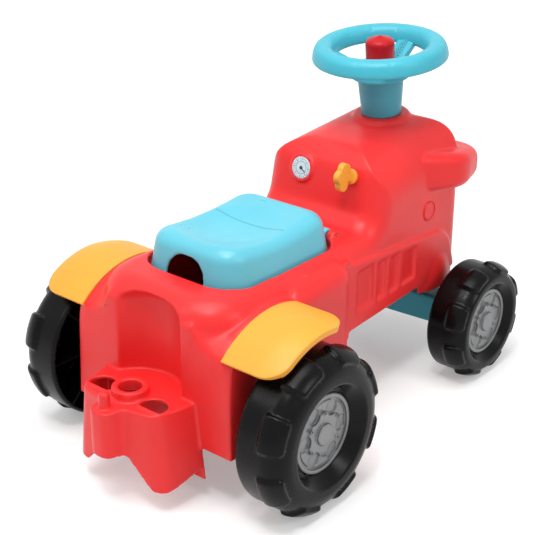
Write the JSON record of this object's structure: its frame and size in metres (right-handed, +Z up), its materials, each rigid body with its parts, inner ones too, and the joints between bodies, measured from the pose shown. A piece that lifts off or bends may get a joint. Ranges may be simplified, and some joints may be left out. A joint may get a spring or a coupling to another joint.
{
  "type": "ride on tractor toy",
  "caption": "Child's ride-on tractor with a lifting seat over a storage well, a steering wheel that turns the front axle, rolling wheels, fenders and a towing hitch.",
  "frame": {"origin": "centre of the footprint, on the floor", "axes": "+X forward, +Y to the driver's left, +Z up"},
  "size_m": [0.555, 0.364, 0.3926],
  "materials": {
    "red_plastic": "satin",
    "dark_red_plastic": "gloss",
    "blue_plastic": "satin",
    "yellow_plastic": "satin",
    "black_plastic": "satin",
    "grey_plastic": "satin",
    "pale_plastic": "satin",
    "lens_plastic": "gloss",
    "natural_plastic": "matte",
    "steel": "satin"
  },
  "bodies": {
    "chassis": {"body_shell": "red_plastic", "hinge_pin": "steel", "fender_left": "yellow_plastic", "fender_right": "yellow_plastic", "bearing": "natural_plastic", "bearing_screws": "steel", "dash_dial": "pale_plastic", "side_plug_left": "red_plastic", "side_plug_right": "red_plastic", "front_panel": "pale_plastic", "lamp_left": "lens_plastic", "lamp_right": "lens_plastic", "rear_axle": "steel", "rear_nut_left": "steel", "rear_nut_right": "steel", "spacer_left": "natural_plastic", "spacer_right": "natural_plastic"},
    "seat": {"seat": "blue_plastic"},
    "steering": {"steering_wheel": "blue_plastic", "column_sleeve": "blue_plastic", "steering_shaft": "steel", "axle_carrier": "blue_plastic", "front_axle": "steel", "front_nut_left": "steel", "front_nut_right": "steel"},
    "horn": {"horn_button": "dark_red_plastic"},
    "key": {"ignition_key": "yellow_plastic", "key_clip": "steel"},
    "rear_left": {"rear_wheel_left": "black_plastic", "rear_cap_left": "grey_plastic"},
    "rear_right": {"rear_wheel_right": "black_plastic", "rear_cap_right": "grey_plastic"},
    "front_left": {"front_wheel_left": "black_plastic", "front_cap_left": "grey_plastic"},
    "front_right": {"front_wheel_right": "black_plastic", "front_cap_right": "grey_plastic"}
  },
  "joints": [
    {"name": "seat_hinge", "type": "hinge", "parent": "chassis", "child": "seat", "pos_m": [0.0275, 0, 0.208], "axis": [0, 1, 0], "range_deg": [0, 55]},
    {"name": "steering_turn", "type": "hinge", "parent": "chassis", "child": "steering", "pos_m": [0.2065, 0, 0.06871], "axis": [-0.0958, 0, 0.9954], "range_deg": [-14, 14]},
    {"name": "front_left_spin", "type": "hinge", "parent": "steering", "child": "front_left", "pos_m": [0.2065, 0.128, 0.06871], "axis": [0, 1, 0], "continuous": true},
    {"name": "front_right_spin", "type": "hinge", "parent": "steering", "child": "front_right", "pos_m": [0.2065, -0.128, 0.06871], "axis": [0, 1, 0], "continuous": true},
    {"name": "rear_left_spin", "type": "hinge", "parent": "chassis", "child": "rear_left", "pos_m": [-0.1375, 0.154, 0.08647], "axis": [0, 1, 0], "continuous": true},
    {"name": "rear_right_spin", "type": "hinge", "parent": "chassis", "child": "rear_right", "pos_m": [-0.1375, -0.154, 0.08647], "axis": [0, 1, 0], "continuous": true},
    {"name": "horn_press", "type": "slide", "parent": "steering", "child": "horn", "axis": [-0.0958, 0, 0.9954], "range_m": [-0.0045, 0], "stiffness_N_per_m": 400, "springref_m": 0.002},
    {"name": "key_turn", "type": "hinge", "parent": "chassis", "child": "key", "pos_m": [0.0738, -0.041, 0.262], "axis": [-0.9772, 0, 0.2122], "range_deg": [-45, 45]}
  ]
}
